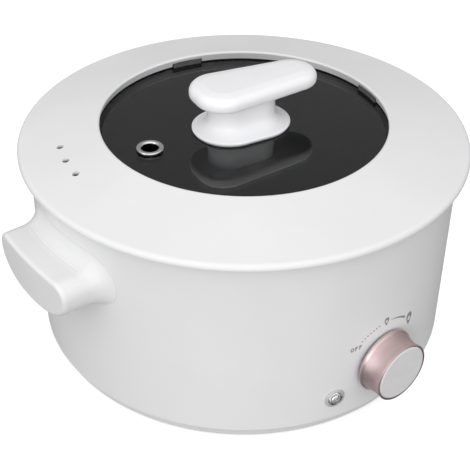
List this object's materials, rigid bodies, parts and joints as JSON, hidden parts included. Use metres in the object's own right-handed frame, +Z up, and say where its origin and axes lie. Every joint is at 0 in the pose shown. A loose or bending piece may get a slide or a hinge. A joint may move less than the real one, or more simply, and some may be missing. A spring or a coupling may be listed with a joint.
{
  "type": "electric hot pot",
  "caption": "Round electric hot pot with ear handles, a heat knob, a coated inner pot and a lift-off lid with a wide frame, a sunken glass and a T-shaped handle.",
  "frame": {"origin": "On the vertical axis of the round pot, on the surface that the four feet stand on.", "axes": "+Z up along the pot's axis, X along the line through the two ear handles, -Y towards the heat knob, +Y towards the power inlet."},
  "size_m": [0.3126, 0.2898, 0.1711],
  "materials": {
    "white_shell": "glossy moulded white",
    "white_base": "satin moulded white",
    "dark_rubber": "matt moulded rubber",
    "silicone": "translucent grey silicone",
    "steel": "zinc-plated steel",
    "bright_steel": "bright stamped steel",
    "pot_coating": "non-stick coating on aluminium",
    "cast_aluminium": "die-cast",
    "element_tube": "annealed dark tube",
    "aluminised_sheet": "bright rolled sheet",
    "black_plastic": "moulded phenolic",
    "fuse_sleeve": "woven glass-fibre sleeve",
    "brass": "machined",
    "bezel_plastic": "glossy grey",
    "clear_lens": "clear moulded lens",
    "lamp_plastic": "milky plastic",
    "lead_red": "silicone insulation",
    "lead_blue": "silicone insulation",
    "lead_green": "silicone insulation",
    "lead_brown": "silicone insulation",
    "grey_print": "pad-printed ink",
    "rose_metal": "satin rose-gold anodised",
    "grey_face": "satin grey",
    "smoked_glass": "tempered, smoked",
    "dark_nylon": "moulded nylon"
  },
  "bodies": {
    "base_unit": {"housing": "white_shell", "base_plate": "white_base", "feet": "dark_rubber", "base_screws": "steel", "inner_pot": "pot_coating", "pot_seal": "silicone", "heat_spreader": "cast_aluminium", "heating_element": "element_tube", "element_tabs": "steel", "reflector_plate": "aluminised_sheet", "reflector_spacers": "steel", "reflector_screws": "steel", "clamp_bar": "steel", "bar_screws": "steel", "clamp_screw": "steel", "thermostat": "black_plastic", "thermostat_screws": "steel", "thermal_fuse": "fuse_sleeve", "fuse_clip": "steel", "fuse_screw": "steel", "control_body": "black_plastic", "control_tabs": "brass", "control_washer": "steel", "control_nut": "steel", "indicator_bezel": "bezel_plastic", "indicator_lens": "clear_lens", "indicator_lamp": "lamp_plastic", "inlet_socket": "black_plastic", "inlet_pins": "brass", "inlet_screws": "steel", "lead_live": "lead_red", "lead_neutral": "lead_blue", "lead_earth": "lead_green", "lead_switched": "lead_brown", "lead_limiter": "lead_brown", "lead_fuse": "lead_brown", "left_handle": "white_shell", "right_handle": "white_shell", "handle_screws": "steel", "dial_marks": "grey_print"},
    "knob": {"knob_shaft": "steel", "knob_core": "white_base", "knob_skirt": "rose_metal", "knob_face": "grey_face"},
    "lid": {"lid_frame": "white_shell", "lid_glass": "smoked_glass", "glass_gasket": "dark_rubber", "glass_retainer": "dark_nylon", "retainer_screws": "steel", "lid_seal": "silicone", "steam_grommet": "bright_steel", "grommet_seal": "dark_rubber", "lid_handle_stem": "white_shell", "lid_handle_grip": "white_shell", "lid_handle_pad": "silicone", "lid_handle_insert": "brass", "lid_handle_washer": "steel", "lid_handle_screw": "steel"}
  },
  "joints": [
    {"name": "knob_turn", "type": "hinge", "parent": "base_unit", "child": "knob", "pos_m": [0, -0.1334, 0.0408], "axis": [0, 1, 0], "range_deg": [-100, 0]},
    {"name": "lid_lift", "type": "slide", "parent": "base_unit", "child": "lid", "axis": [0, 0, 1], "range_m": [0, 0.08]}
  ]
}
